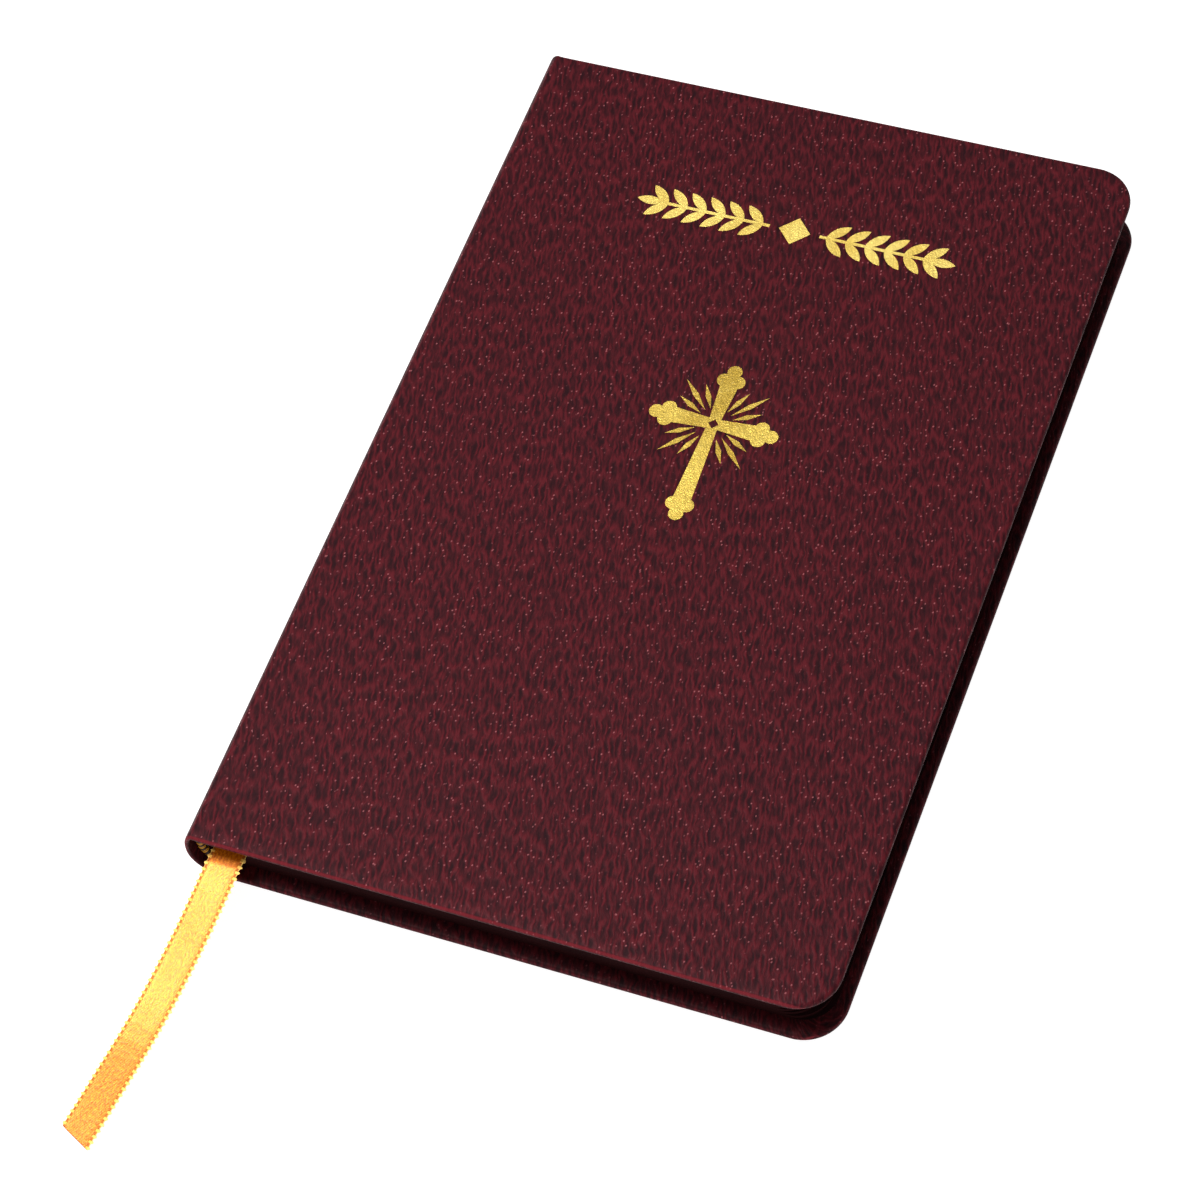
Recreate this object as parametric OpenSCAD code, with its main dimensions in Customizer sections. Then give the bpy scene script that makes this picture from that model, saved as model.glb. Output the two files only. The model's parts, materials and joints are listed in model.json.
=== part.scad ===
// Pocket prayer book: a sewn block of pages in a limp leatherette cover with round corners,
// gold foil ornaments, striped head and tail bands and a satin ribbon marker.
// Units are millimetres. The book lies on its back cover: +X runs from the spine to the
// fore-edge, +Y from the tail to the head, and +Z up through the front cover.
// The origin is the middle of the closed book's footprint, on the surface that it lies on.

/* [Book] */
// Width of the closed book, from the outside of the spine to the fore-edge
book_w = 114; // [90:1:160]
// Height of the covers, from tail to head
book_h = 171.5; // [130:0.5:240]
// Thickness of the closed book
book_t = 13; // [10:0.5:26]
// Radius of the covers' round corners
corner_r = 7.5; // [4:0.5:12]

/* [Cover] */
// Thickness of the leatherette
skin_t = 0.4; // [0.3:0.05:0.6]
// Thickness of the flexible card inside each cover
board_t = 0.7; // [0.5:0.05:1.2]
// Width of the margin of leatherette that is turned in over the card
turn_in = 11; // [7:0.5:16]
// Thickness of the endpapers
paper_t = 0.12; // [0.08:0.01:0.2]
// How far the pasted endpaper stays in from the covers' edges
paper_margin = 3; // [2:0.5:5]

/* [Spine] */
// How far the spine curves in under the front cover
shoulder_top = 2.4; // [1.5:0.1:6]
// How far the spine curves in over the back cover
shoulder_bottom = 6.5; // [2:0.5:9]
// Thickness of the paper strip that stiffens the spine
strip_t = 0.3; // [0.2:0.05:0.5]
// Hollow between the spine strip and the back of the pages
hollow = 0.25; // [0.15:0.05:0.6]
// Thickness of the kraft lining glued to the back of the pages
lining_t = 0.12; // [0.08:0.01:0.2]
// Thickness of the gauze glued under the lining
mull_t = 0.13; // [0.1:0.01:0.2]
// Thickness of the sewing thread where it crosses the folds
thread_t = 0.2; // [0.15:0.05:0.3]

/* [Pages] */
// How far the covers stand past the pages at head and tail
square = 3; // [2:0.5:5]
// How far the covers stand past the widest pages at the fore-edge
fore_square = 3; // [2:0.5:6]
// Radius of the pages' round corners
page_corner_r = 6; // [3:0.5:10]
// Air between one section and the next
section_air = 0.02; // [0.01:0.01:0.04]
// Air between pieces that move apart
air = 0.1; // [0.08:0.01:0.15]

/* [Sewing and bands] */
// Number of places where the thread crosses the folds
stitch_count = 6; // [4:1:8]
// Length of each crossing along the spine
stitch_l = 1.2; // [0.8:0.1:2]
// Height of the bands' bead past the pages
bead_h = 1.5; // [1:0.1:1.8]
// Thickness of the bands' bead
bead_t = 1.3; // [1:0.1:2]
// Length of the cloth tongue that holds each band
tongue_l = 9; // [6:0.5:14]

/* [Ribbon] */
// Width of the satin ribbon
ribbon_w = 6.35; // [5:0.05:8]
// Thickness of the satin ribbon
ribbon_t = 0.2; // [0.16:0.01:0.22]

/* [Foil] */
// Depth of the foil stamping, which lies flush in the leatherette
foil_t = 0.06; // [0.04:0.01:0.1]
// Width of the leaf border near the head
title_w = 60; // [40:1:64]
// Height of the leaf border
title_h = 7.6; // [5:0.1:9]
// Distance of the leaf border's middle above the middle of the cover
title_y = 58.4; // [50:0.1:60]
// Radius of the rayed cross
emblem_r = 16.5; // [12:0.5:20]
// Distance of the rayed cross's middle above the middle of the cover
emblem_y = 11.5; // [0:0.5:20]
// Distance of both ornaments' middle from the middle of the book's width
ornament_x = 1.4; // [0:0.1:4]

/* [Hidden] */

leather = "#4a1a22";
card = "#b8a888";
cream = "#efe6d0";
kraft = "#a9855c";
gauze = "#e3ddd0";
linen = "#f2efe6";
gold = "#d9b54a";
satin = "#f2a63c";

left = -book_w / 2;
right = book_w / 2;
z_mid = book_t / 2;
cover_t = 2 * skin_t + board_t;
page_h = book_h - 2 * square;
rest = 0.02; // a sheet's clearance where it only lies on another
half_sections = 6; // sewn sections in each half of the block, as NODES lists them

// The covers start where the spine's curve runs flat.
front_joint_x = left + shoulder_top;
back_joint_x = left + shoulder_bottom;
crease = 0.8; // bare leatherette between the spine's curve and the card

// Heights of the stack, from the back cover up to the opening in the middle and on.
flyleaf_z = cover_t + paper_t + rest;
rear_z = flyleaf_z + paper_t + rest;
opening = ribbon_t + 2 * air;
half_t = z_mid - opening / 2 - rear_z - air;
section_t = half_t / half_sections - section_air;
front_z = z_mid + opening / 2;
rear_top = z_mid - opening / 2;
ribbon_z = rear_top + rest;
front_flyleaf_z = front_z + half_t + rest;

// Layers at the spine: the hollow is counted in from the outside, and the rest from the hollow.
hollow_in = skin_t + strip_t;
lining_in = hollow;
mull_in = lining_in + lining_t;
thread_in = mull_in + mull_t;
fold_in = thread_in + thread_t + rest;
halves_gap = 0.05; // half of the gap between the spine's two halves

curve_steps = 14;
fold_line = 0.02; // the spine's curve stops this far short of level, at each joint's fold

// The spine's wall at a height: an ellipse above the middle and a longer one below.
function curve_in(share) = 1 - sqrt(1 - share * share);
function shoulder(z) =
    (z >= z_mid ? shoulder_top : shoulder_bottom) / curve_in(z_mid / (z_mid + fold_line));
function wall_x(z, inset) =
    let (share = min(1, abs(z - z_mid) / (z_mid + fold_line - inset)))
    left + inset + shoulder(z) * curve_in(share);

// Heights from z0 to z1, closer together towards the ends of the spine's curve.
function ease(share) = (1 - cos(180 * share)) / 2;
function heights(z0, z1) = [for (i = [0 : curve_steps]) z0 + (z1 - z0) * ease(i / curve_steps)];

// The back edge of a section is inside the wall's inner layers over its whole height.
function fold_x(z0, z1) =
    max(wall_x(z0, hollow_in), wall_x(z1, hollow_in)) + fold_in;

// Sections count from the front: 1 lies under the front cover.
function section_z(n) =
    n <= half_sections
    ? front_z + (half_sections - n) * (section_t + section_air)
    : rear_z + (2 * half_sections - n) * (section_t + section_air);
function section_back(n) = fold_x(section_z(n), section_z(n) + section_t);
deepest_back = max([for (n = [1 : 2 * half_sections]) section_back(n)]);
page_w = right - fore_square - deepest_back;

// A profile drawn in X and Z, stretched along Y between two places.
module along_spine(y0, y1)
    translate([0, y1, 0]) rotate([90, 0, 0]) linear_extrude(height = y1 - y0) children();

// A layer that follows the spine's wall: from shift s0 to shift s1 inwards of the given inset.
module wall_layer(z0, z1, inset, s0, s1) {
    zs = heights(z0, z1);
    polygon(concat(
        [for (z = zs) [wall_x(z, inset) + s0, z]],
        [for (i = [len(zs) - 1 : -1 : 0]) [wall_x(zs[i], inset) + s1, zs[i]]]
    ));
}

// A sheet's outline: square at the spine, round at the fore-edge.
module outline(x0, x1, h, r) {
    translate([x0, -h / 2]) square([x1 - x0 - r, h]);
    translate([x0, -h / 2 + r]) square([x1 - x0, h - 2 * r]);
    for (side = [-1, 1])
        translate([x1 - r, side * (h / 2 - r)]) circle(r = r, $fn = 64);
}

module sheet(x0, x1, h, r, z, t)
    translate([0, 0, z]) linear_extrude(height = t) outline(x0, x1, h, r);

// ---- Covers -------------------------------------------------------------------------------

// The leatherette of one cover, outside down: it wraps the card's edges and turns in over it.
module cover_skin(x0) {
    inner_r = corner_r - skin_t;
    difference() {
        sheet(x0, right, book_h, corner_r, 0, cover_t);
        sheet(x0 - 1, right - skin_t, book_h - 2 * skin_t, inner_r, skin_t, board_t);
        sheet(x0 - 1, right - turn_in, book_h - 2 * turn_in, page_corner_r / 2,
              skin_t + board_t / 2, cover_t);
    }
}

module cover_board(x0)
    sheet(x0 + crease, right - skin_t, book_h - 2 * skin_t, corner_r - skin_t, skin_t, board_t);

// The pasted endpaper lies over the turned-in margin and dips to the card inside it.
module pastedown(x0) {
    dip = skin_t;
    window_x = right - turn_in;
    window_h = book_h - 2 * turn_in;
    window_r = page_corner_r / 2;
    difference() {
        union() {
            sheet(x0 + crease, right - paper_margin, book_h - 2 * paper_margin,
                  page_corner_r, cover_t, paper_t);
            sheet(x0 + crease, window_x, window_h, window_r, cover_t - dip, dip + paper_t);
        }
        sheet(x0 + crease + paper_t, window_x - paper_t, window_h - 2 * paper_t,
              window_r - paper_t, cover_t - dip + paper_t, dip + 1);
    }
}

// Turns a piece of the back cover over to be the front cover's.
module as_front() translate([0, 0, book_t]) mirror([0, 0, 1]) children();

module foil_recess() {
    translate([0, 0, book_t - foil_t]) linear_extrude(height = 1) {
        title_outline();
        emblem_outline();
    }
}

module back_cover_skin() color(leather) cover_skin(back_joint_x + air);
module back_board() color(card) cover_board(back_joint_x + air);
module back_pastedown() color(cream) pastedown(back_joint_x + air);
module front_board() color(card) as_front() cover_board(front_joint_x + air);
module front_pastedown() color(cream) as_front() pastedown(front_joint_x + air);
module front_cover_skin()
    color(leather) difference() {
        as_front() cover_skin(front_joint_x + air);
        foil_recess();
    }

// ---- Foil ---------------------------------------------------------------------------------

// A pointed leaf, from the origin along +X.
module leaf(l, w) {
    r = (l * l / 4 + w * w / 4) / w;
    intersection_for (side = [-1, 1])
        translate([l / 2, side * (r - w / 2)]) circle(r = r, $fn = 96);
}

// A sprig of paired leaves along a stem, from the origin along +X.
module sprig(l, h) {
    pairs = 6;
    step = l / (pairs + 1);
    leaf_l = h * 0.66;
    translate([0, -h * 0.04]) square([l - step, h * 0.08]);
    for (i = [0 : pairs - 1], side = [-1, 1])
        translate([step * (i + 0.35), 0]) rotate(side * 42) leaf(leaf_l, leaf_l * 0.36);
    translate([l - 1.4 * step, 0]) leaf(1.4 * step, leaf_l * 0.36);
}

// A lozenge between two sprigs, where a title would stand.
module title_outline()
    translate([ornament_x, title_y]) {
        lozenge = title_h * 0.5;
        gap = title_h * 0.22;
        rotate(45) square(lozenge * 1.1, center = true);
        for (turn = [0, 180])
            rotate(turn) translate([lozenge * 0.8 + gap, 0])
                sprig(title_w / 2 - lozenge * 0.8 - gap, title_h);
    }

// One arm of the cross, from the middle along +Y: slender, flared and ending in three buds.
module cross_arm(l, w) {
    bud = w * 0.4;
    neck = l - bud * 2.9;
    polygon([[-w * 0.3, 0], [w * 0.3, 0], [w * 0.5, neck], [-w * 0.5, neck]]);
    translate([0, l - bud]) circle(r = bud, $fn = 48);
    for (side = [-1, 1])
        translate([side * bud * 0.95, neck + bud * 0.4]) circle(r = bud, $fn = 48);
}

// One ray, a slender lozenge from near the middle along +X.
module ray(start, end, w)
    polygon([[start, 0], [(start + end) / 2, -w / 2], [end, 0], [(start + end) / 2, w / 2]]);

// A budded cross with a fan of rays between its arms and a lozenge cut at its crossing.
module emblem_outline()
    translate([ornament_x, emblem_y]) {
        w = emblem_r * 0.2;
        heart = emblem_r * 0.24; // how far the crossing lies above the middle
        fan = 3;
        translate([0, heart]) difference() {
            union() {
                cross_arm(emblem_r - heart, w);
                for (side = [-1, 1]) rotate(side * 90) cross_arm(emblem_r * 0.72, w);
                rotate(180) cross_arm(emblem_r + heart, w);
                for (quarter = [0 : 3], i = [1 : fan])
                    rotate(quarter * 90 + 45 + (i - (fan + 1) / 2) * 17)
                        ray(emblem_r * 0.2, emblem_r * (i == 2 ? 0.66 : 0.52), emblem_r * 0.06);
            }
            rotate(45) square(w * 0.42, center = true);
        }
    }

module title_foil()
    color(gold) translate([0, 0, book_t - foil_t]) linear_extrude(height = foil_t) title_outline();
module emblem_foil()
    color(gold) translate([0, 0, book_t - foil_t]) linear_extrude(height = foil_t) emblem_outline();

// ---- Spine --------------------------------------------------------------------------------

// Half of the spine's leatherette, with its margins turned in over the strip at head and tail.
module spine_skin(z0, z1, x_end) {
    lip_z0 = max(z0, cover_t + air);
    lip_z1 = min(z1, book_t - cover_t - air);
    intersection() {
        union() {
            along_spine(-book_h / 2, book_h / 2) skin_profile(z0, z1);
            for (side = [-1, 1])
                scale([1, side, 1]) {
                    along_spine(book_h / 2 - skin_t, book_h / 2)
                        wall_layer(lip_z0, lip_z1, skin_t, -skin_t / 2, strip_t + hollow / 2);
                    along_spine(book_h / 2 - tongue_l, book_h / 2)
                        wall_layer(lip_z0, lip_z1, skin_t, strip_t, strip_t + hollow / 2);
                }
        }
        translate([left - 1, -book_h, z0]) cube([x_end - left + 1, 2 * book_h, z1 - z0]);
    }
}

// The leatherette keeps its thickness all round the curve.
module skin_profile(z0, z1) {
    zs = heights(z0, z1);
    inner = [for (z = zs) z_mid + (z - z_mid) * (z_mid - skin_t) / z_mid];
    polygon(concat(
        [for (z = zs) [wall_x(z, 0), z]],
        [for (i = [len(zs) - 1 : -1 : 0]) [wall_x(inner[i], skin_t), inner[i]]]
    ));
}

// Half of a layer at the spine, between two heights and two places along it.
module spine_layer(z0, z1, inset, s0, s1, y_end)
    along_spine(-y_end, y_end) wall_layer(z0, z1, inset, s0, s1);

module spine_strip(z0, z1)
    color(card) spine_layer(z0, z1, skin_t, 2 * rest, strip_t - rest, book_h / 2 - skin_t - rest);

module lining(z0, z1)
    color(kraft) spine_layer(z0, z1, hollow_in, lining_in, mull_in, page_h / 2 - 1);

module mull(z0, z1)
    color(gauze) spine_layer(z0, z1, hollow_in, mull_in, thread_in, page_h / 2 - tongue_l - 1);

// The thread crosses the folds at even stations, with the outer two near head and tail.
module sewing(z0, z1)
    color(linen) for (i = [0 : stitch_count - 1]) {
        reach = page_h / 2 - tongue_l - 3;
        y = -reach + 2 * reach * i / (stitch_count - 1);
        along_spine(y - stitch_l / 2, y + stitch_l / 2)
            wall_layer(z0, z1, hollow_in, thread_in, thread_in + thread_t);
    }

// A striped band: a bead on the pages' edge and a cloth tongue down the back of the folds.
module band(z0, z1, side)
    color(gold) scale([1, side, 1]) {
        along_spine(page_h / 2 + rest, page_h / 2 + bead_h)
            wall_layer(z0, z1, hollow_in, mull_in, mull_in + bead_t);
        along_spine(page_h / 2 - tongue_l, page_h / 2 + bead_h / 2)
            wall_layer(z0, z1, hollow_in, mull_in, thread_in);
    }

rear_span = [rear_z, rear_top];
front_span = [front_z, front_z + half_t];

module back_spine_skin() color(leather) spine_skin(0, z_mid - halves_gap, back_joint_x);
module front_spine_skin() color(leather) spine_skin(z_mid + halves_gap, book_t, front_joint_x);
module back_spine_strip() spine_strip(cover_t, z_mid - halves_gap);
module front_spine_strip() spine_strip(z_mid + halves_gap, book_t - cover_t);
module back_lining() lining(rear_span[0], rear_span[1]);
module front_lining() lining(front_span[0], front_span[1]);
module back_mull() mull(rear_span[0], rear_span[1]);
module front_mull() mull(front_span[0], front_span[1]);
module back_sewing() sewing(rear_span[0], rear_span[1]);
module front_sewing() sewing(front_span[0], front_span[1]);
module back_head_band() band(rear_span[0], rear_span[1], 1);
module back_tail_band() band(rear_span[0], rear_span[1], -1);
module front_head_band() band(front_span[0], front_span[1], 1);
module front_tail_band() band(front_span[0], front_span[1], -1);

// ---- Pages --------------------------------------------------------------------------------

// A sewn section: folded sheets with a round fold at the spine.
module section(n) {
    z = section_z(n);
    x0 = section_back(n);
    r = section_t / 2;
    color(cream) union() {
        sheet(x0 + r, x0 + page_w, page_h, page_corner_r, z, section_t);
        translate([x0 + r, 0, z + r]) rotate([90, 0, 0])
            cylinder(r = r, h = page_h, center = true, $fn = 32);
    }
}

// A single leaf of paper at a height, hinged at its back edge.
module single_leaf(z, back) color(cream) sheet(back, back + page_w, page_h, page_corner_r, z, paper_t);

back_flyleaf_back = section_back(2 * half_sections) + 1;
front_flyleaf_back = section_back(1) + 1;

module back_flyleaf() single_leaf(flyleaf_z, back_flyleaf_back);
module front_flyleaf() single_leaf(front_flyleaf_z, front_flyleaf_back);

// ---- Ribbon -------------------------------------------------------------------------------

// The free tail's route from the pages to the table: X, Y and Z of its middle line.
tail_route = [
    [-49.9, -82.76, 6.42], [-49.9, -84.0, 6.39], [-50.1, -86.0, 6.20], [-50.2, -88.0, 5.90],
    [-50.4, -91.0, 5.30], [-50.7, -94.0, 4.60], [-51.0, -97.0, 3.85], [-51.4, -100.0, 3.10],
    [-51.8, -103.0, 2.40], [-52.2, -106.0, 1.75], [-52.6, -109.0, 1.20], [-53.0, -112.0, 0.75],
    [-53.4, -115.0, 0.42], [-53.8, -118.0, 0.22], [-54.2, -121.0, 0.14], [-54.6, -124.0, 0.12],
    [-55.1, -128.0, 0.12], [-55.6, -132.0, 0.12], [-56.1, -135.6, 0.12], [-56.3, -137.6, 0.12],
];
bend_point = 12; // the point of the route where the falling stretch meets the lying one
exit_x = tail_route[0][0];
exit_y = -page_h / 2;

// The flat ribbon's cross-section: thin, with its two edges slightly rounded.
ribbon_section = [
    [-ribbon_w / 2, 0], [-ribbon_w / 2 + 0.1, -ribbon_t / 2], [ribbon_w / 2 - 0.1, -ribbon_t / 2],
    [ribbon_w / 2, 0], [ribbon_w / 2 - 0.1, ribbon_t / 2], [-ribbon_w / 2 + 0.1, ribbon_t / 2],
];

// Sweeps a flat section along part of a route, keeping it level from side to side.
function unit(v) = v / norm(v);
function heading(route, i) =
    unit(route[min(i + 1, len(route) - 1)] - route[max(i - 1, 0)]);
function ring(route, section, i) =
    let (ahead = heading(route, i), side = unit(cross([0, 0, 1], ahead)), up = cross(ahead, side))
    [for (p = section) route[i] + side * p[0] + up * p[1]];
module sweep(route, section, first, last) {
    n = len(section);
    rings = last - first;
    polyhedron(
        points = [for (i = [first : last]) each ring(route, section, i)],
        faces = concat(
            [[for (k = [n - 1 : -1 : 0]) k]],
            [[for (k = [0 : n - 1]) rings * n + k]],
            [for (i = [0 : rings - 1], k = [0 : n - 1])
                [i * n + k, i * n + (k + 1) % n, (i + 1) * n + (k + 1) % n, (i + 1) * n + k]]
        )
    );
}

module ribbon_fall() color(satin) sweep(tail_route, ribbon_section, 0, bend_point);
module ribbon_tip()
    color(satin) sweep(tail_route, ribbon_section, bend_point, len(tail_route) - 1);

// Between the pages the ribbon slants from the fold at the head to its exit at the tail.
ribbon_head_x = section_back(half_sections + 1) + ribbon_w / 2;
module ribbon_inner()
    color(satin) translate([0, 0, ribbon_z]) linear_extrude(height = ribbon_t)
        polygon([
            [exit_x - ribbon_w / 2, exit_y], [exit_x + ribbon_w / 2, exit_y],
            [ribbon_head_x + ribbon_w / 2, page_h / 2 - 2], [ribbon_head_x - ribbon_w / 2, page_h / 2 - 2]
        ]);

// The ribbon's end is glued to the back of the rear folds, under the head band's tongue.
module ribbon_anchor()
    color(satin) along_spine(page_h / 2 - tongue_l, page_h / 2)
        wall_layer(rear_z + section_t, rear_top, hollow_in, thread_in + rest / 2,
                   thread_in + thread_t - rest / 2);

// ---- Nodes --------------------------------------------------------------------------------

back_cover_skin();
back_board();
back_pastedown();
back_flyleaf();
back_spine_skin();
back_spine_strip();
back_lining();
back_mull();
back_sewing();
back_head_band();
back_tail_band();
section(7);  // section_7
section(8);  // section_8
section(9);  // section_9
section(10);  // section_10
section(11);  // section_11
section(12);  // section_12
ribbon_anchor();
ribbon_inner();
ribbon_fall();
ribbon_tip();
section(1);  // section_1
section(2);  // section_2
section(3);  // section_3
section(4);  // section_4
section(5);  // section_5
section(6);  // section_6
front_spine_skin();
front_spine_strip();
front_lining();
front_mull();
front_sewing();
front_head_band();
front_tail_band();
front_flyleaf();
front_cover_skin();
front_board();
front_pastedown();
title_foil();
emblem_foil();
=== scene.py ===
"""A pocket prayer book: limp burgundy leatherette over flexible card, a sewn block of stained
pages, gold foil ornaments, striped head and tail bands and an orange satin ribbon marker."""

import json
import math

import bpy
import numpy as np
from mathutils import Matrix, Vector
from mathutils.bvhtree import BVHTree


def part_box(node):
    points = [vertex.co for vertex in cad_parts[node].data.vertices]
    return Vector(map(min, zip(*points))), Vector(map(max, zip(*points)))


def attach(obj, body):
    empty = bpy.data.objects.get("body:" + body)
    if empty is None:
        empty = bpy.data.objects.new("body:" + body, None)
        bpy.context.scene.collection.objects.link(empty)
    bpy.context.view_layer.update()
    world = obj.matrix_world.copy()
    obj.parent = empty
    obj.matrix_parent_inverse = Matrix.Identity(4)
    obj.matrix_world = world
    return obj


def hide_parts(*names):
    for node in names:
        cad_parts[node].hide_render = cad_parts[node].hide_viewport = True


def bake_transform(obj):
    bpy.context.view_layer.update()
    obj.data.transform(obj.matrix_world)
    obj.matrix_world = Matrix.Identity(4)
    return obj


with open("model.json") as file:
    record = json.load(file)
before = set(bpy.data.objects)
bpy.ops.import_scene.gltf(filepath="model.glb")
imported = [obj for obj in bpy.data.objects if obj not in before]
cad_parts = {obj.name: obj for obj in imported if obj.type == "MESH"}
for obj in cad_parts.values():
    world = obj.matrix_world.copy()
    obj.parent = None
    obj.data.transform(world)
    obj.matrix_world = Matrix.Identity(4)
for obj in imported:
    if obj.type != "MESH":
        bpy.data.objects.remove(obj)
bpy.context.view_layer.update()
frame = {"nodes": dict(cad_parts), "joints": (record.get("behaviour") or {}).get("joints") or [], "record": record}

MM = 0.001
joints = {joint["name"]: joint for joint in frame["joints"]}

# ---- Where things are -------------------------------------------------------------------------

cover_low, cover_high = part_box("front_cover_skin")
FORE_EDGE, HEAD, TOP = cover_high
COVER = TOP - cover_low.z
page_low, page_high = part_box("section_7")
PAGE_BACK = page_low.x
PAGE_FORE, PAGE_HEAD, REAR_PAGE = page_high
FRONT_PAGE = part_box("section_6")[0].z
SPINE, _, MIDDLE = joints["book_opening"]["pos_m"]
FRONT_JOINT = joints["front_cover_hinge"]["pos_m"][0]
BACK_JOINT = joints["back_cover_hinge"]["pos_m"][0]

# Radius of the covers' and the pages' round corners
CORNER = 7.5 * MM
PAGE_CORNER = 6.0 * MM
# Margin of leatherette that is turned in over the card
TURN_IN = 11.0 * MM
# Thickness of the leatherette's folded edge at head and tail of the spine
SPINE_EDGE = 0.82 * MM
# The spine's curve stops this far short of level, at each joint's fold
FOLD_LINE = 0.02 * MM
# From the spine's outer face to the hollow behind its stiffening strip
HOLLOW_IN = 0.7 * MM
# How far the edges' stain runs into the face of a page
STAIN = 0.75 * MM
# Depth of the stamping under the foil
STAMP = 0.11 * MM
# The stretch of the front cover that holds both ornaments, and how close its points stand
ORNAMENTS_X = (-30 * MM, 33 * MM)
ORNAMENTS_Y = (-7 * MM, 64.5 * MM)
ORNAMENT_STEP = 0.3 * MM
# From one turn of the bands' silk to the next
SILK_TURN = 0.42 * MM

RIBBON_WIDTH = 6.35 * MM
RIBBON_THICK = 0.2 * MM
# From one loop of the ribbon's edge to the next
PICOT = 1.15 * MM


def smooth_step(value, low, high):
    """0 below low, 1 above high, and an S-curve between."""
    share = np.clip((np.asarray(value, float) - low) / (high - low), 0, 1)
    return share * share * (3 - 2 * share)


def add_object(name, data):
    """A new object in the scene that shows a mesh, a light or a camera."""
    made = bpy.data.objects.new(name, data)
    bpy.context.scene.collection.objects.link(made)
    return made


# ---- Camera, lights and floor -----------------------------------------------------------------


def set_up_camera():
    """A long lens above the tail, looking down at the front cover."""
    data = bpy.data.cameras.new("studio_camera")
    data.lens = 115.2
    data.sensor_width = 36
    camera = add_object("studio_camera", data)
    azimuth, elevation, roll = (math.radians(a) for a in (33.05, 57.30, -14.53))
    turn = Matrix.Rotation(azimuth, 4, "Z") @ Matrix.Rotation(math.pi / 2 - elevation, 4, "X")
    place = Matrix.Translation((0.1849, -0.3177, 0.5589))
    camera.matrix_world = place @ turn @ Matrix.Rotation(roll, 4, "Z")
    bpy.context.scene.camera = camera


def add_light(name, place, aim, size, power):
    """A soft box at a place, turned towards its aim."""
    data = bpy.data.lights.new(name, "AREA")
    data.shape = "RECTANGLE"
    data.size, data.size_y = size
    data.energy = power
    light = add_object(name, data)
    light.location = place
    light.rotation_euler = (Vector(aim) - Vector(place)).to_track_quat("-Z", "Y").to_euler()


def set_up_studio():
    """An even white room and three soft boxes."""
    scene = bpy.context.scene
    scene.view_settings.view_transform = "Standard"
    world = bpy.data.worlds.new("studio")
    world.use_nodes = True
    room = world.node_tree.nodes["Background"]
    room.inputs["Color"].default_value = (1, 1, 1, 1)
    room.inputs["Strength"].default_value = 0.45
    scene.world = world
    add_light("key", (-0.28, -0.12, 0.78), (-0.02, -0.05, 0), (0.28, 0.28), 8)
    add_light("front_fill", (0.1, -0.9, 0.35), (0, -0.05, 0), (0.9, 0.4), 2.5)
    add_light("head_soft", (-0.2, 0.42, 0.75), (0, 0, 0), (0.4, 0.4), 0.6)


def lay_floor():
    """A plain pale sheet just under the book, bright enough to hide its shadows."""
    half, low = 4.0, -1.0 * MM
    mesh = bpy.data.meshes.new("floor")
    corners = [(-half, -half, low), (half, -half, low), (half, half, low), (-half, half, low)]
    mesh.from_pydata(corners, [], [(0, 1, 2, 3)])
    floor = add_object("floor", mesh)
    finish = Finish("floor_paper")
    finish.set(**{"Base Color": (0.3, 0.3, 0.3, 1), "Roughness": 0.9})
    finish.set(**{"Specular IOR Level": 0.0})
    finish.set(**{"Emission Color": (1, 1, 1, 1), "Emission Strength": 0.92})
    mesh.materials.append(finish.material)


# ---- Finishes ---------------------------------------------------------------------------------


class Wire:
    """One output of a finish's nodes. Arithmetic on it adds Math nodes."""

    def __init__(self, finish, socket):
        self.finish = finish
        self.socket = socket

    def _math(self, operation, *values):
        settings = {"operation": operation}
        return self.finish.node("ShaderNodeMath", settings, dict(enumerate(values)))

    def __add__(self, other):
        return self._math("ADD", self, other)

    __radd__ = __add__

    def __sub__(self, other):
        return self._math("SUBTRACT", self, other)

    def __rsub__(self, other):
        return self._math("SUBTRACT", other, self)

    def __mul__(self, other):
        return self._math("MULTIPLY", self, other)

    __rmul__ = __mul__

    def __pow__(self, other):
        return self._math("POWER", self, other)

    def sine(self):
        return self._math("SINE", self)

    def size(self):
        """The value without its sign."""
        return self._math("ABSOLUTE", self)

    def wave(self, pitch):
        """A sine wave with one crest at every pitch."""
        return (self * (2 * math.pi / pitch)).sine()

    def step(self, low, high):
        """0 below low, 1 above high, and an S-curve between."""
        values = {"Value": self, "From Min": low, "From Max": high}
        return self.finish.node("ShaderNodeMapRange", {"interpolation_type": "SMOOTHSTEP"}, values)


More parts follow.
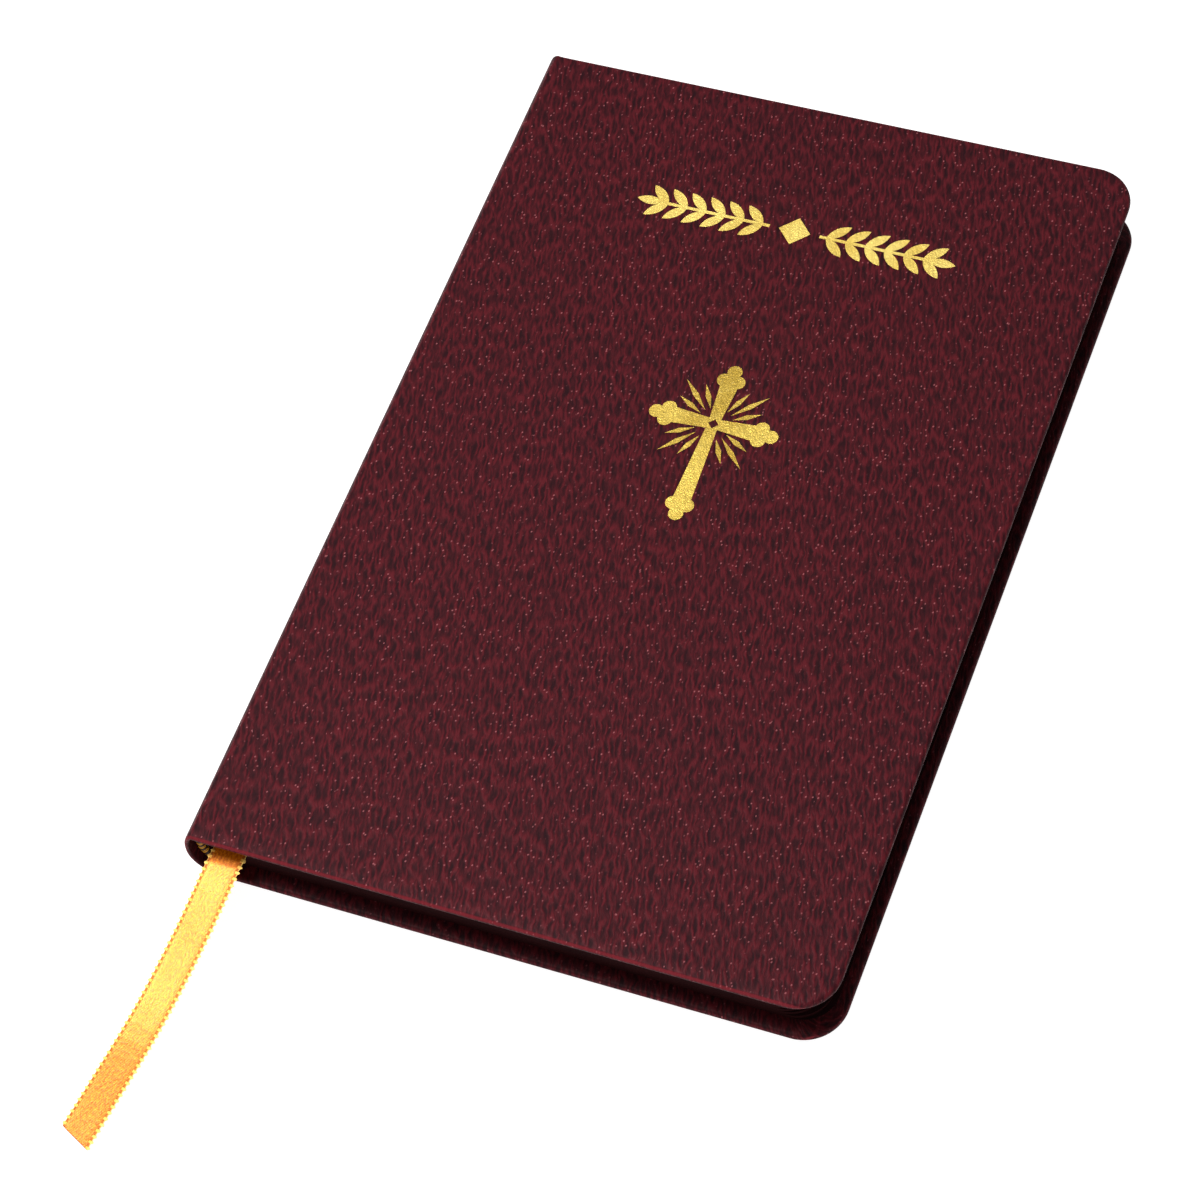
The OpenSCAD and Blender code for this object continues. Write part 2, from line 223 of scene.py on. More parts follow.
class Finish:
    """A material that is being mixed: it adds nodes and hands back their outputs."""

    def __init__(self, name):
        self.material = bpy.data.materials.new(name)
        self.material.use_nodes = True
        self.tree = self.material.node_tree
        self.surface = self.tree.nodes["Principled BSDF"]

    def feed(self, socket, value):
        """Link an output to a socket, or set the socket to a constant."""
        if isinstance(value, Wire):
            self.tree.links.new(value.socket, socket)
        else:
            socket.default_value = value

    def node(self, kind, settings=None, values=None, output=0):
        """A new node with its settings and inputs; hands back one of its outputs."""
        made = self.tree.nodes.new(kind)
        for name, value in (settings or {}).items():
            setattr(made, name, value)
        for name, value in (values or {}).items():
            self.feed(made.inputs[name], value)
        return Wire(self, made.outputs[output])

    def set(self, **values):
        """Inputs of the finish's surface."""
        for name, value in values.items():
            self.feed(self.surface.inputs[name], value)

    def laid_flat(self):
        """Where a point lies on the piece laid out flat, in metres."""
        return self.node("ShaderNodeTexCoord", output="UV")

    def in_place(self):
        """Where a point lies in the book, in metres."""
        return self.node("ShaderNodeTexCoord", output="Object")

    def parts(self, vector):
        """A vector's X, Y and Z."""
        made = self.tree.nodes.new("ShaderNodeSeparateXYZ")
        self.feed(made.inputs[0], vector)
        return [Wire(self, made.outputs[i]) for i in range(3)]

    def joined(self, x, y, z=0.0):
        """One vector from its X, Y and Z."""
        return self.node("ShaderNodeCombineXYZ", values={"X": x, "Y": y, "Z": z})

    def turned(self, vector, degrees):
        """Coordinates turned about Z."""
        values = {"Vector": vector, "Rotation": (0, 0, math.radians(degrees))}
        return self.node("ShaderNodeMapping", values=values)

    def stretched(self, vector, wide, long):
        """Coordinates whose unit is this many millimetres wide and long."""
        values = {"Vector": vector, "Scale": (1 / (wide * MM), 1 / (long * MM), 1 / (wide * MM))}
        return self.node("ShaderNodeMapping", values=values)

    def moved(self, vector, other, reach):
        """The vector, pushed about by a colour noise as far as its reach in X, Y and Z."""
        centred = self.vector_math("SUBTRACT", other, (0.5, 0.5, 0.5))
        return self.vector_math("ADD", vector, self.vector_math("MULTIPLY", centred, reach))

    def vector_math(self, operation, first, second):
        values = {0: first, 1: second}
        return self.node("ShaderNodeVectorMath", {"operation": operation}, values)

    def noise(self, vector, scale, detail=2.0, rough=0.5, output=0):
        values = {"Vector": vector, "Scale": scale, "Detail": detail, "Roughness": rough}
        return self.node("ShaderNodeTexNoise", {"noise_dimensions": "3D"}, values, output)

    def cells(self, vector, feature="F1"):
        settings = {"voronoi_dimensions": "2D", "feature": feature}
        return self.node("ShaderNodeTexVoronoi", settings, {"Vector": vector, "Scale": 1.0})

    def mix(self, share, first, second):
        """A colour part of the way from the first to the second."""
        values = {0: share, 6: first, 7: second}
        return self.node("ShaderNodeMix", {"data_type": "RGBA"}, values, output=2)

    def clear_of(self, value):
        """The value where it is above nought, and nought below."""
        return self.node("ShaderNodeMath", {"operation": "MAXIMUM"}, {0: value, 1: 0.0})

    def bump(self, height, depth, strength):
        """A surface that rises with the height, as far as the depth where the height is 1."""
        values = {"Height": height, "Distance": depth, "Strength": strength}
        return self.node("ShaderNodeBump", {}, values)


def colour(red, green, blue):
    """A colour from its screen values, 0 to 255."""
    linear = [((c / 255 + 0.055) / 1.055) ** 2.4 if c > 10 else c / 3295 for c in (red, green, blue)]
    return (*linear, 1.0)


def leatherette(name, dark, light, rub_and_glint):
    """Pressed grain: fine wavy strands and a faint net of ridges that run down the book, with pale specks painted
    as glints and a rolled edge painted lighter, partly wear and partly highlight.
    """
    f = Finish(name)
    flat = f.laid_flat()
    sway = f.noise(flat, 420.0, 2.0, output=1)
    turned = f.turned(f.moved(flat, sway, (1.1 * MM, 0.1 * MM, 0)), -15)
    ridge = 1 - f.cells(f.stretched(turned, 1.0, 4.6), "DISTANCE_TO_EDGE").step(0.03, 0.34)
    wide_strand = f.noise(f.stretched(f.turned(turned, 6), 0.6, 2.8), 1.0, 2.0)
    fine_strand = f.noise(f.stretched(turned, 0.5, 2.0), 1.0, 2.0)
    strand = (fine_strand + wide_strand).step(0.76, 1.2)
    fade = f.noise(flat, 600.0, 2.0).step(0.3, 0.7)
    broad = f.noise(flat, 45.0, 3.0).step(0.25, 0.8)
    net = ridge * (0.3 + 0.4 * strand) + strand * (0.22 + 0.24 * fade)
    net = net * (0.9 + 0.16 * broad)
    # Pale specks on the grain: painted glints, also raised a little in the bump
    glint_dots = 1 - f.cells(f.stretched(f.turned(flat, 20), 1.15, 1.5)).step(0.05, 0.17)
    speck_glint = glint_dots * strand.step(0.1, 0.7) * f.noise(flat, 380.0).step(0.46, 0.6)
    base = f.mix(net, dark, light)
    base = f.mix(speck_glint * rub_and_glint, base, colour(160, 92, 96))
    # Lighter along the rolled head and tail edge: partly wear, partly a painted highlight where the roll catches
    # light
    from_edge = f.parts(flat)[1].size() - (HEAD - 0.05 * MM)
    rubbed_edge_highlight = 1 - from_edge.size().step(0.15 * MM, 0.5 * MM)
    base = f.mix(rubbed_edge_highlight * rub_and_glint, base, colour(112, 30, 38))
    hair = f.noise(flat, 5200.0, 1.0)
    height = net + speck_glint * 0.5 + hair * 0.12
    f.set(**{"Base Color": base, "Roughness": 0.52 - 0.12 * net + 0.08 * hair})
    f.set(**{"Specular IOR Level": 0.06, "Normal": f.bump(height, 0.09 * MM, 0.7)})
    return f.material


def gold_foil(name, light, dark):
    """Hot-stamped foil: gold over the pressed grain, with paler flecks and fine streaks."""
    f = Finish(name)
    place = f.in_place()
    pressed = f.noise(f.stretched(f.turned(place, -15), 0.7, 2.2), 1.0, 3.0)
    fine = f.noise(place, 3200.0, 3.0, 0.65)
    patch = f.noise(place, 120.0, 2.0)
    base = f.mix(patch.step(0.3, 0.7), light, dark)
    base = f.mix(fine.step(0.54, 0.74) * 0.4, base, colour(236, 214, 140))
    f.set(**{"Base Color": base, "Metallic": 1.0, "Roughness": 0.34 + 0.14 * fine})
    f.set(**{"Normal": f.bump(pressed + fine * 0.7, 0.15 * MM, 0.8)})
    return f.material


def satin():
    """Woven satin: long glossy floats down the ribbon and fine picks across it."""
    f = Finish("orange_satin")
    across, along, _ = f.parts(f.laid_flat())
    threads = across.wave(0.16 * MM)
    picks = (along * (2 * math.pi / (0.24 * MM)) + threads * 0.9).sine()
    glint = f.noise(f.joined(across * 2600, along * 1500), 1.0, 3.0, 0.6)
    patch = f.noise(f.joined(across * 260, along * 120), 1.0, 2.0)
    half_width = RIBBON_WIDTH / 2
    selvage = across.size().step(half_width - 0.75 * MM, half_width - 0.6 * MM)
    loop = across.size().step(half_width - 0.3 * MM, half_width - 0.2 * MM)
    stitch = along.wave(PICOT).step(-0.4, 0.5)
    body = f.mix(glint.step(0.36, 0.66), colour(176, 74, 2), colour(226, 124, 10))
    body = f.mix(patch.step(0.35, 0.75) * 0.5, body, colour(204, 96, 4))
    edge = f.mix(stitch, colour(170, 78, 8), colour(238, 176, 76))
    base = f.mix(selvage, body, edge)
    base = f.mix(loop, base, colour(242, 196, 104))
    f.set(**{"Base Color": base, "Roughness": 0.24 + 0.2 * glint + 0.2 * selvage})
    f.set(**{"Metallic": 0.3, "Specular IOR Level": 0.9, "Specular Tint": (1.0, 0.88, 0.43, 1)})
    height = threads * 0.2 + picks * 0.3 + glint * 3.4 + patch * 2.0 + stitch * selvage * 6.0
    f.set(**{"Normal": f.bump(height, 0.0105 * MM, 0.9)})
    return f.material


def paper_fibres(f, place):
    """Faint mottling and fibres of thin printing paper."""
    return f.noise(place, 220.0, 4.0) * 0.6 + f.noise(place, 2600.0, 2.0) * 0.4


def page_paper():
    """Cream paper with edges stained burgundy, where the leaves show as fine lines."""
    f = Finish("stained_pages")
    place = f.in_place()
    x, y, z = f.parts(place)
    out_x = f.clear_of(x - (PAGE_FORE - PAGE_CORNER))
    out_y = f.clear_of(y.size() - (PAGE_HEAD - PAGE_CORNER))
    out = (out_x * out_x + out_y * out_y) ** 0.5
    rim_start = PAGE_CORNER - STAIN
    rim = out.step(rim_start - 0.05 * MM, rim_start + 0.05 * MM)
    fibres = paper_fibres(f, place)
    face = f.mix(fibres, colour(184, 176, 154), colour(196, 189, 168))
    leaves = f.noise(f.joined(x * 60, y * 60, z * 9000), 1.0, 3.0, 0.7)
    stain = f.mix(leaves.step(0.3, 0.72), colour(13, 2, 3), colour(40, 8, 9))
    f.set(**{"Base Color": f.mix(rim, face, stain)})
    f.set(**{"Roughness": 0.62 + 0.2 * fibres, "Specular IOR Level": 0.05})
    f.set(**{"Normal": f.bump(leaves * rim + fibres * 0.15, 0.06 * MM, 0.6)})
    return f.material


def plain_paper(name, dark, light):
    """Unprinted paper or card, mottled between two colours."""
    f = Finish(name)
    place = f.in_place()
    fibres = paper_fibres(f, place)
    f.set(**{"Base Color": f.mix(fibres.step(0.3, 0.7), dark, light)})
    f.set(**{"Roughness": 0.7 + 0.2 * fibres, "Specular IOR Level": 0.25})
    f.set(**{"Normal": f.bump(fibres, 0.02 * MM, 0.5)})
    return f.material


def gauze():
    """Open-weave spine cloth, with glue in its holes."""
    f = Finish("spine_gauze")
    x, y, z = f.parts(f.in_place())
    pitch = 0.7 * MM
    weave = y.wave(pitch).size() + (z + x).wave(pitch).size()
    f.set(**{"Base Color": f.mix(weave.step(0.5, 1.4), colour(196, 184, 156), colour(238, 232, 214))})
    f.set(**{"Roughness": 0.85, "Normal": f.bump(weave, 0.05 * MM, 0.8)})
    return f.material


def thread():
    """Waxed linen thread, twisted, painted lighter on each twist's crest and darker in its groove as highlight and
    shade.
    """
    f = Finish("linen_thread")
    _, y, z = f.parts(f.in_place())
    twist = (y + z).wave(0.35 * MM)
    f.set(**{"Base Color": f.mix(twist.step(-1, 1), colour(206, 196, 170), colour(246, 241, 226))})
    f.set(**{"Roughness": 0.6, "Normal": f.bump(twist, 0.04 * MM, 0.8)})
    return f.material


def band_silk():
    """Turns of gold and dark silk over the band's core, each painted dark in its groove and light on its crest as
    shade and highlight.
    """
    f = Finish("band_silk")
    along = f.parts(f.laid_flat())[1]
    turns = along.wave(SILK_TURN)
    stripe = along.wave(3 * SILK_TURN).step(-0.1, 0.35)
    # Painted shade in the grooves between turns, painted highlight on each crest
    turn_shade_and_highlight = turns.step(-1.0, 0.6)
    gold = f.mix(turn_shade_and_highlight, colour(86, 48, 4), colour(190, 134, 26))
    dark = f.mix(turn_shade_and_highlight, colour(14, 7, 5), colour(52, 26, 12))
    f.set(**{"Base Color": f.mix(stripe, dark, gold), "Roughness": 0.42})
    f.set(**{"Specular IOR Level": 0.2, "Normal": f.bump(turns, 0.06 * MM, 0.8)})
    return f.material


# ---- Meshes -----------------------------------------------------------------------------------


def grid_faces(rows, columns, first=0, closed=False):
    """Quads of a grid whose points run along each row; closed joins the last column to the first."""
    faces = []
    for i in range(rows - 1):
        for j in range(columns if closed else columns - 1):
            after = (j + 1) % columns
            a, b = first + i * columns + j, first + i * columns + after
            faces.append((a, b, b + columns, a + columns))
    return faces


def make_piece(name, points, faces, flat, finishes, kinds=None):
    """A smooth mesh with its laid-flat coordinates, which the finishes read."""
    mesh = bpy.data.meshes.new(name)
    mesh.from_pydata([tuple(map(float, p)) for p in points], [], faces)
    layer = mesh.uv_layers.new(name="laid_flat")
    corner_points = np.zeros(len(mesh.loops), np.int32)
    mesh.loops.foreach_get("vertex_index", corner_points)
    layer.data.foreach_set("uv", np.asarray(flat, np.float32)[corner_points].ravel())
    for finish in finishes:
        mesh.materials.append(finish)
    if kinds is not None:
        mesh.polygons.foreach_set("material_index", np.asarray(kinds, np.int32))
    mesh.shade_smooth()
    piece = add_object(name, mesh)
    return piece


# ---- Leatherette ------------------------------------------------------------------------------


def spine_wall(height, joint_x, inset=0.0):
    """Where the spine's face, or a layer inside it, stands above or below the middle."""
    level = MIDDLE + FOLD_LINE
    full = 1 - math.sqrt(1 - (MIDDLE / level) ** 2)
    share = np.abs(height) / (level - inset)
    return SPINE + inset + (joint_x - SPINE) / full * (1 - np.sqrt(1 - share**2))


class CoverShape:
    """One cover's outer face laid flat: u runs from the spine's middle to the fore-edge."""

    def __init__(self, joint_x, sign):
        turn = np.linspace(0, math.pi / 2, 40)
        rise = MIDDLE * np.sin(turn)
        xs = spine_wall(rise, joint_x)
        zs = MIDDLE + sign * rise
        xs = np.append(xs, FORE_EDGE + 10 * MM)
        zs = np.append(zs, zs[-1])
        self.u = np.concatenate([[0], np.cumsum(np.hypot(np.diff(xs), np.diff(zs)))])
        self.joint_u = self.u[-2]
        self.end_u = self.joint_u + FORE_EDGE - joint_x
        self.xs, self.zs = xs, zs
        run, climb = np.gradient(xs, self.u), np.gradient(zs, self.u)
        run[-2:], climb[-2:] = 1.0, 0.0
        run[0], climb[0] = 0.0, sign
        self.inward_x, self.inward_z = sign * climb, -sign * run

    def place(self, u, y, depth):
        """Points on or under the outer face."""
        x, z = np.interp(u, self.u, self.xs), np.interp(u, self.u, self.zs)
        inward_x = np.interp(u, self.u, self.inward_x)
        inward_z = np.interp(u, self.u, self.inward_z)
        length = np.hypot(inward_x, inward_z)
        x, z = x + inward_x / length * depth, z + inward_z / length * depth
        return np.stack([x, y * np.ones_like(u), z], -1)

    def edge_radius(self, u):
        """Half the thickness at head and tail: thin at the spine, full on the cover."""
        share = smooth_step(u, self.joint_u - 1.5 * MM, self.joint_u + 1.5 * MM)
        return (SPINE_EDGE + (COVER - SPINE_EDGE) * share) / 2


def stamped_depth(points, nodes):
    """How deep the foil stamping presses the leatherette at points of the outer face."""
    depth = np.zeros(len(points))
    near = 0.6 * MM
    for name in nodes:
        mesh = frame["nodes"][name].data
        flattened = [(v.co.x, v.co.y, 0) for v in mesh.vertices]
        tree = BVHTree.FromPolygons(flattened, [tuple(p.vertices) for p in mesh.polygons])
        low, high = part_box(name)
        for i, (x, y, _) in enumerate(points):
            if low.x - near < x < high.x + near and low.y - near < y < high.y + near:
                away = tree.find_nearest(Vector((x, y, 0)), near)[3]
                if away is not None:
                    depth[i] = max(depth[i], STAMP * (1 - smooth_step(away, 0.05 * MM, 0.38 * MM)))
    return depth


def cover_columns(shape, dense):
    """Where the sheet's columns stand: close at the spine, the joint, the ornaments and the corners."""
    joint = shape.joint_u
    roll = COVER / 2
    corner_centre = shape.end_u - CORNER
    spine = np.linspace(0, joint - 1.4 * MM, 16)
    fold = np.linspace(joint - 1.2 * MM, joint + 1.4 * MM, 18)
    corner = corner_centre + (CORNER - roll) * np.sin(np.linspace(0, math.pi / 2, 15))
    if dense:
        low, high = (joint - FRONT_JOINT + x for x in ORNAMENTS_X)
        close = np.arange(low, high, ORNAMENT_STEP)
        before = np.linspace(fold[-1], close[0], 12)[1:-1]
        after = np.linspace(close[-1], corner_centre, 14)[1:-1]
        flat = np.concatenate([before, close, after])
    else:
        flat = np.linspace(fold[-1], corner_centre, 50)[1:-1]
    return np.concatenate([spine, fold, flat, corner])


def cover_rows(dense):
    """Where the sheet's rows lie, as shares of its half height."""
    if not dense:
        return np.linspace(-1, 1, 81)
    low, high = (y / HEAD for y in ORNAMENTS_Y)
    close = np.arange(low, high, ORNAMENT_STEP / HEAD)
    below = np.linspace(-1, low, 40)[:-1]
    above = np.linspace(close[-1], 1, 14)[1:]
    return np.concatenate([below, close, above])


def rim_walk(columns, rows):
    """A grid's points along the head, the fore-edge and the tail, and which are the fore-edge's."""
    head = [i * rows + rows - 1 for i in range(columns)]
    fore = [(columns - 1) * rows + j for j in range(rows - 2, 0, -1)]
    tail = [i * rows for i in range(columns - 1, -1, -1)]
    return np.array(head + fore + tail), slice(len(head), len(head) + len(fore))


def make_leather(name, joint_x, sign, stamped=()):
    """A cover's leatherette with half of the spine's, rolled round its edges and turned in."""
    shape = CoverShape(joint_x, sign)
    columns, rows = cover_columns(shape, bool(stamped)), cover_rows(bool(stamped))
    centre_u, centre_y = shape.end_u - CORNER, HEAD - CORNER
    radius = CORNER - COVER / 2
    half = HEAD - shape.edge_radius(columns)
    past = np.clip(columns - centre_u, 0, radius)
    half = np.where(past > 0, centre_y + np.sqrt(np.maximum(radius**2 - past**2, 0)), half)
    half[-1] = centre_y
    u, y = np.repeat(columns[:, None], len(rows), 1), half[:, None] * rows[None, :]
    u, y = u.ravel(), y.ravel()
    outer = shape.place(u, y, np.zeros_like(u))
    sunk = stamped_depth(outer, stamped) if stamped else np.zeros_like(u)
    outer[:, 2] -= sign * sunk
    points, flat = [outer], [np.stack([sign * u, y], -1)]
    faces = grid_faces(len(columns), len(rows))

    # The rim's points, the way out of the sheet at each, and the margin's inner edge
    loop, fore = rim_walk(len(columns), len(rows))
    base_u, base_y = u[loop], y[loop]
    out_u = np.clip((base_u - centre_u) / radius, 0, 1)
    out_y = np.sign(base_y) * np.sqrt(1 - out_u**2)
    out_u[fore], out_y[fore] = 1, 0
    edge = shape.edge_radius(base_u)
    inner_u = np.minimum(base_u, shape.end_u - TURN_IN)
    inner_y = np.clip(base_y, TURN_IN - HEAD, HEAD - TURN_IN)
    # The turned-in margin is gathered in small pleats at the round corners
    fan = np.arctan2(np.abs(out_y), out_u)
    pleat = np.abs(np.sin(6.5 * fan)) * (out_u > 0.02) * (np.abs(out_y) > 0.02)

    def ring(ring_u, ring_y, depth, laid):
        """One more line of points round the rim, this far on along the leatherette."""
        points.append(shape.place(ring_u, ring_y, depth))
        flat.append(np.stack([sign * (base_u + out_u * laid), base_y + out_y * laid], -1))

    for angle in np.linspace(0, math.pi, 9)[1:]:
        out = edge * math.sin(angle)
        ring(base_u + out_u * out, base_y + out_y * out, edge * (1 - math.cos(angle)), edge * angle)
    for share in (0.06, 0.15, 0.28, 0.45, 0.65, 0.85, 1.0):
        ring_u = base_u + (inner_u - base_u) * share
        ring_y = base_y + (inner_y - base_y) * share
        lift = 0.17 * MM * pleat * math.sin(math.pi * min(1.0, share * 1.9 + 0.12)) * (share < 0.5)
        ring(ring_u, ring_y, 2 * edge + lift, math.pi * edge + share * TURN_IN)
    ring(inner_u, inner_y, 2 * edge - 0.3 * MM, math.pi * edge + 1.04 * TURN_IN)

    first = len(u)
    width = len(loop)
    for j in range(width - 1):
        faces.append((loop[j], first + j, first + j + 1, loop[j + 1]))
    # The sheet and the first rows of its roll show the outer finish, and the rest the inner one: a darker copy of
    # it, as painted shade
    outside = len(faces) + 5 * (width - 1)
    faces += [f[::-1] for f in grid_faces(len(points) - 1, width, first)]
    kinds = [0] * outside + [1] * (len(faces) - outside)
    if sign > 0:
        faces = [f[::-1] for f in faces]
    faces = [tuple(int(k) for k in f) for f in faces]
    points, flat = np.concatenate(points), np.concatenate(flat)
    return make_piece(
        name, points, faces, flat, [LEATHER, SHADED_TURN_IN_LEATHER], kinds
    )


def cover_with_leather():
    """Both covers' leatherette, curved round the spine as far as each joint."""
    front = make_leather("front_leather", FRONT_JOINT, 1, ("title_foil", "emblem_foil"))
    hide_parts("front_cover_skin", "front_spine_skin")
    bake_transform(front)
    back = make_leather("back_leather", BACK_JOINT, -1)
    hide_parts("back_cover_skin", "back_spine_skin")
    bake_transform(back)


def stamp_foil(node, name, finish):
    """The foil lies at the bottom of its stamping."""
    mesh = frame["nodes"][node].data.copy()
    mesh.name = name
    piece = add_object(name, mesh)
    mesh.transform(Matrix.Translation((0, 0, -0.5 * STAMP)))
    mesh.materials.clear()
    mesh.materials.append(finish)
    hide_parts(node)
    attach(piece, "front_cover")


# ---- Paper that bends -------------------------------------------------------------------------


def bent_paper(name, profile, half_height, finish, corner=0.0):
    """A sheet with a profile in X and Z, stretched from tail to head, with round corners."""
    steps = 41
    xs, zs = profile[:, 0], profile[:, 1]
    laid = np.concatenate([[0], np.cumsum(np.hypot(np.diff(xs), np.diff(zs)))])
    short = np.maximum(corner - np.minimum(laid, laid[-1] - laid), 0)
    half = half_height - corner + np.sqrt(corner**2 - short**2)
    y = half[:, None] * np.linspace(-1, 1, steps)[None, :]
    across, up, down = (np.repeat(v[:, None], steps, 1) for v in (xs, zs, laid))
    points = np.stack([across, y, up], -1).reshape(-1, 3)
    flat = np.stack([down, y], -1).reshape(-1, 2)
    return make_piece(name, points, grid_faces(len(xs), steps), flat, [finish])


def make_centre_pages():
    """The two facing pages at the ribbon, joined in the gutter, inside the stained rim."""
    clear = 0.02 * MM
    rear, front = REAR_PAGE + clear, FRONT_PAGE - clear
    gutter_end = PAGE_BACK + 2 * MM
    corner = PAGE_CORNER - STAIN
    corner_x = PAGE_FORE - PAGE_CORNER
    rounding = corner_x + corner * np.sin(np.linspace(0, math.pi / 2, 12))
    page_x = np.concatenate([np.linspace(gutter_end, corner_x, 30)[:-1], rounding])
    share = np.linspace(0, 1, 23)[1:-1]
    valley = SPINE + 0.25 * MM
    gutter_x = valley + (gutter_end - valley) * np.abs(2 * share - 1) ** 1.6
    profile_x = np.concatenate([page_x[::-1], gutter_x, page_x])
    profile_z = np.concatenate(
        [np.full_like(page_x, rear), rear + (front - rear) * share, np.full_like(page_x, front)]
    )
    profile = np.stack([profile_x, profile_z], -1)
    pages = bent_paper("centre_pages", profile, PAGE_HEAD - STAIN, PAPER, corner)
    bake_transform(pages)


def make_paper_hinges():
    """The endpapers' folds, which join each cover's lining to its fly leaf."""
    reach = 3.2 * MM
    for name, joint_x, sign, block, cover in (
        ("front_paper_hinge", FRONT_JOINT, 1, "front_block", "front_cover"),
        ("back_paper_hinge", BACK_JOINT, -1, "rear_block", "back_cover"),
    ):
        outer = TOP if sign > 0 else 0.0
        depth = np.concatenate([np.full(8, 1.60), np.linspace(1.61, 1.79, 12)[1:-1], np.full(8, 1.80)])
        inner = joint_x - 0.35 * MM
        far = np.linspace(joint_x + reach, joint_x + 0.25 * MM, 8)
        bow = np.linspace(-1, 1, 12)[1:-1]
        near = inner + 0.6 * MM * bow**2
        xs = np.concatenate([far, near, far[::-1]])
        profile = np.stack([xs, outer - sign * depth * MM], -1)
        hinge = bent_paper(name, profile, PAGE_HEAD - 1.0 * MM, ENDPAPER)
        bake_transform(hinge)


# ---- Head and tail bands ----------------------------------------------------------------------


def make_band(name, side):
    """A silk-wound bead that follows the round back from one fly leaf to the other."""
    sides, rings = 16, 150
    low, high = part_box("back_tail_band")[0].z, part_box("front_tail_band")[1].z
    heights = np.linspace(low, high, rings)
    away = heights - MIDDLE
    joint_x = np.where(away > 0, FRONT_JOINT, BACK_JOINT)
    core_x = spine_wall(away, joint_x, HOLLOW_IN) + 1.05 * MM
    radius = 0.66 * MM
    middle_y = side * (PAGE_HEAD + 0.62 * MM)
    laid = np.concatenate([[0], np.cumsum(np.hypot(np.diff(core_x), np.diff(heights)))])
    run, climb = np.gradient(core_x, laid), np.gradient(heights, laid)
    swell = 1 + 0.05 * np.sin(laid * 2 * math.pi / SILK_TURN)
    points, flat = [], []
    for k in range(sides):
        angle = 2 * math.pi * k / sides
        out, up = radius * swell * math.cos(angle), radius * swell * math.sin(angle)
        points.append(np.stack([core_x + climb * out, middle_y + side * up, heights - run * out], -1))
        flat.append(np.stack([np.full(rings, radius * angle), laid], -1))
    points = np.stack(points, 1).reshape(-1, 3)
    flat = np.stack(flat, 1).reshape(-1, 2)
    faces = grid_faces(rings, sides, closed=True)
    faces += [tuple(range(sides))[::-1], tuple((rings - 1) * sides + k for k in range(sides))]
    return make_piece(name, points, faces, flat, [SILK])


def add_bands():
    """The head and tail bands, each one silk bead in place of the two halves."""
    for end, side in (("head", 1), ("tail", -1)):
        band = make_band(f"{end}_band_silk", side)
        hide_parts(f"front_{end}_band", f"back_{end}_band")
        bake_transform(band)


# ---- Ribbon -----------------------------------------------------------------------------------

# The free tail's middle line from the pages to the table, in millimetres.
RIBBON_ROUTE = [
    (-49.9, -82.76, 6.42), (-49.9, -84.0, 6.39), (-50.1, -86.0, 6.20), (-50.2, -88.0, 5.90),
    (-50.4, -91.0, 5.30), (-50.7, -94.0, 4.60), (-51.0, -97.0, 3.85), (-51.4, -100.0, 3.10),
    (-51.8, -103.0, 2.40), (-52.2, -106.0, 1.75), (-52.6, -109.0, 1.20), (-53.0, -112.0, 0.75),
    (-53.4, -115.0, 0.42), (-53.8, -118.0, 0.22), (-54.2, -121.0, 0.14), (-54.6, -124.0, 0.12),
    (-55.1, -128.0, 0.12), (-55.6, -132.0, 0.12), (-56.1, -135.6, 0.12), (-56.3, -137.6, 0.12),
]


def strip_faces(steps, columns):
    """The upper and lower faces of a thin strip, and the narrow ones round its rim."""
    total = steps * columns
    faces = grid_faces(steps, columns)
    faces += [tuple(total + k for k in f[::-1]) for f in grid_faces(steps, columns)]
    rim = [i * columns for i in range(steps)]
    rim += [(steps - 1) * columns + j for j in range(1, columns)]
    rim += [i * columns + columns - 1 for i in range(steps - 2, -1, -1)]
    rim += list(range(columns - 2, 0, -1))
    for here, after in zip(rim, rim[1:] + rim[:1]):
        faces.append((here, total + here, total + after, after))
    return faces


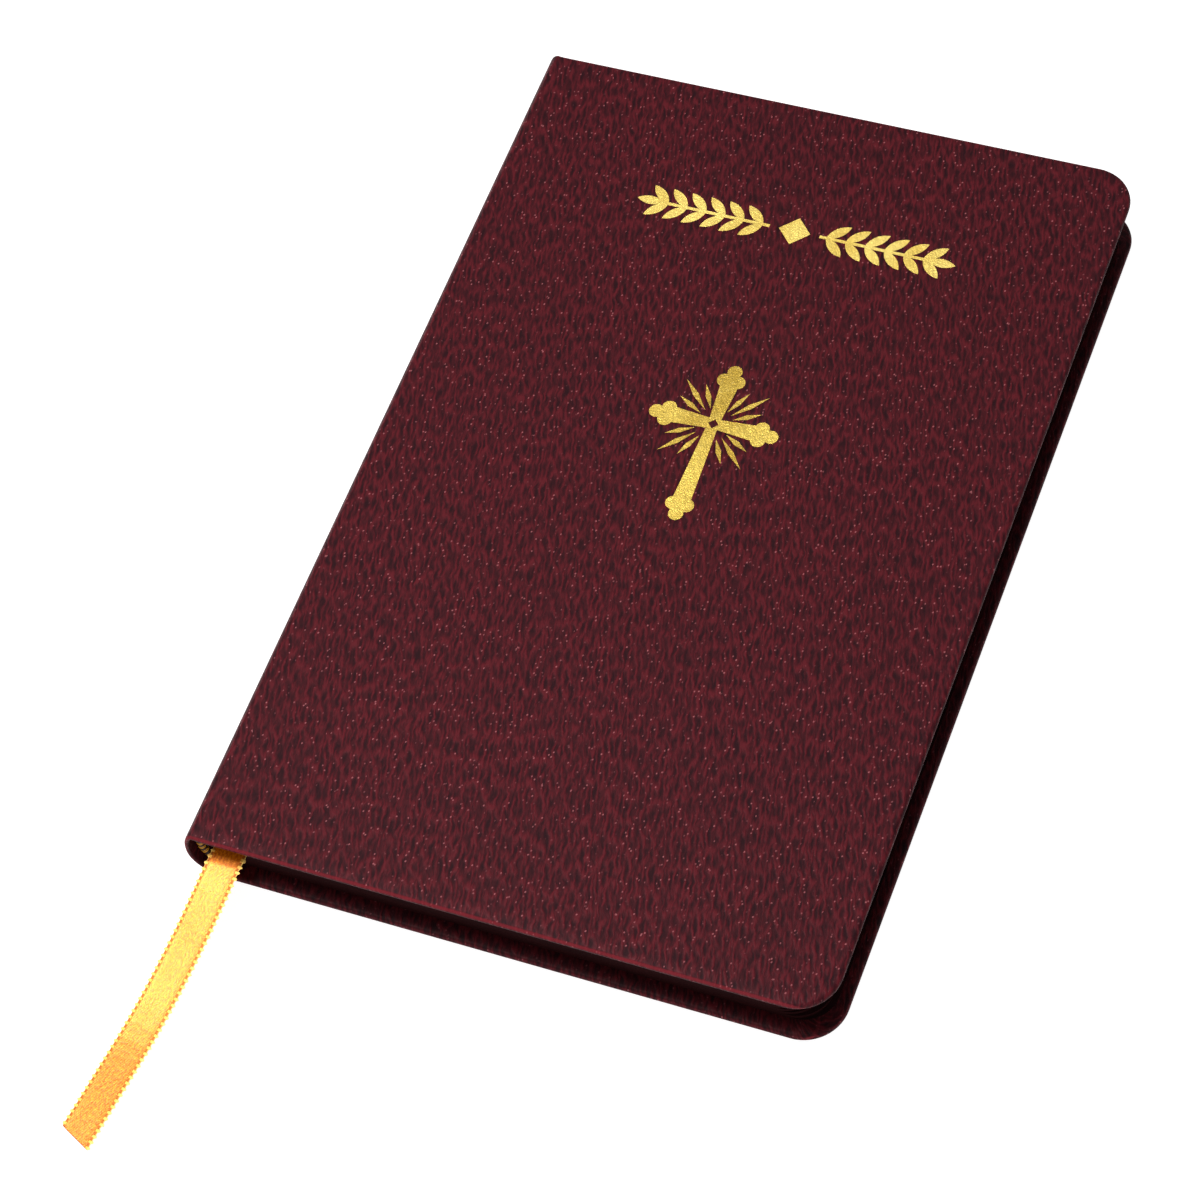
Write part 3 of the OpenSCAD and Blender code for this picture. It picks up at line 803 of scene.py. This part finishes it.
def make_ribbon():
    """The ribbon's free tail: a thin woven strip with looped edges and a slanting cut."""
    route = np.array(RIBBON_ROUTE) * MM
    laid = np.concatenate([[0], np.cumsum(np.linalg.norm(np.diff(route, axis=0), axis=1))])
    length = laid[-1]

    def on_route(distance):
        """Points this far along the route."""
        return np.stack([np.interp(distance, laid, route[:, k]) for k in range(3)], -1)

    steps, columns = 420, 26
    along = np.linspace(0, 1, steps)
    slant = math.tan(math.radians(19))
    across = np.sin(np.linspace(-math.pi / 2, math.pi / 2, columns)) * 0.5
    points, flat = [], []
    for face in (1, -1):  # the upper face, then the lower
        for share in along:
            s = share * (length - slant * RIBBON_WIDTH * (across + 0.5) * 0.98)
            middle = on_route(s)
            heading = on_route(s + 0.4 * MM) - on_route(s - 0.4 * MM)
            heading /= np.linalg.norm(heading, axis=1)[:, None]
            side = np.cross(heading, (0, 0, 1.0))
            side /= np.linalg.norm(side, axis=1)[:, None]
            up = np.cross(side, heading)
            loop = 0.34 * MM * np.maximum(0, np.sin(2 * math.pi * s / PICOT)) ** 0.7
            rim = smooth_step(np.abs(across), 0.47, 0.5)
            wide = across * (RIBBON_WIDTH - 0.3 * MM) + np.sign(across) * rim * loop
            thick = RIBBON_THICK / 2 * (0.75 + 0.25 * smooth_step(np.abs(across), 0.3, 0.42))
            thick = thick * (1 - 0.6 * rim)
            points.append(middle + side * wide[:, None] + up * (face * thick)[:, None])
            flat.append(np.stack([wide, s], -1))
    points, flat = np.concatenate(points), np.concatenate(flat)
    faces = strip_faces(steps, columns)
    ribbon = make_piece("ribbon_marker", points, faces, flat, [SATIN])
    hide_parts("ribbon_fall", "ribbon_tip")
    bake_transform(ribbon)


# ---- Putting the book together ----------------------------------------------------------------


def finish_cad_pieces():
    """Each carried-over solid gets its own finish."""
    card = plain_paper("flexible_card", colour(150, 132, 104), colour(186, 168, 138))
    kraft = plain_paper("kraft_lining", colour(146, 108, 68), colour(182, 142, 98))
    cloth, linen = gauze(), thread()
    finishes = {
        "burgundy_leatherette": LEATHER,
        "flexible_card": card,
        "endpaper": PAGES,
        "bible_paper": PAGES,
        "kraft_paper": kraft,
        "gauze": cloth,
        "linen_thread": linen,
        "striped_band": SILK,
        "gold_foil": GOLD,
        "satin_ribbon": SATIN,
    }
    slots = {row["node"]: row["material_slot"] for row in frame["record"]["subparts"]}
    for name, node in frame["nodes"].items():
        node.data.materials.clear()
        node.data.materials.append(finishes[slots[name]])


set_up_camera()
LEATHER = leatherette("burgundy_leatherette", colour(32, 9, 14), colour(77, 19, 26), 0.6)
# The turned-in margins: the same leatherette painted darker as shade, with less painted glint and edge highlight
SHADED_TURN_IN_LEATHER = leatherette("turned_in_leatherette", colour(22, 5, 8), colour(62, 13, 18), 0.15)
SATIN, PAGES, SILK = satin(), page_paper(), band_silk()
GOLD = gold_foil("gold_foil", colour(240, 214, 118), colour(222, 190, 92))
DEEP_GOLD = gold_foil("deep_gold_foil", colour(206, 178, 84), colour(172, 142, 58))
PAPER = plain_paper("page_faces", colour(184, 176, 154), colour(196, 189, 168))
ENDPAPER = plain_paper("endpaper", colour(182, 172, 148), colour(194, 186, 164))
make_ribbon()
finish_cad_pieces()
cover_with_leather()
stamp_foil("title_foil", "leaf_border", GOLD)
stamp_foil("emblem_foil", "rayed_cross", DEEP_GOLD)
make_centre_pages()
make_paper_hinges()
add_bands()
set_up_studio()
lay_floor()
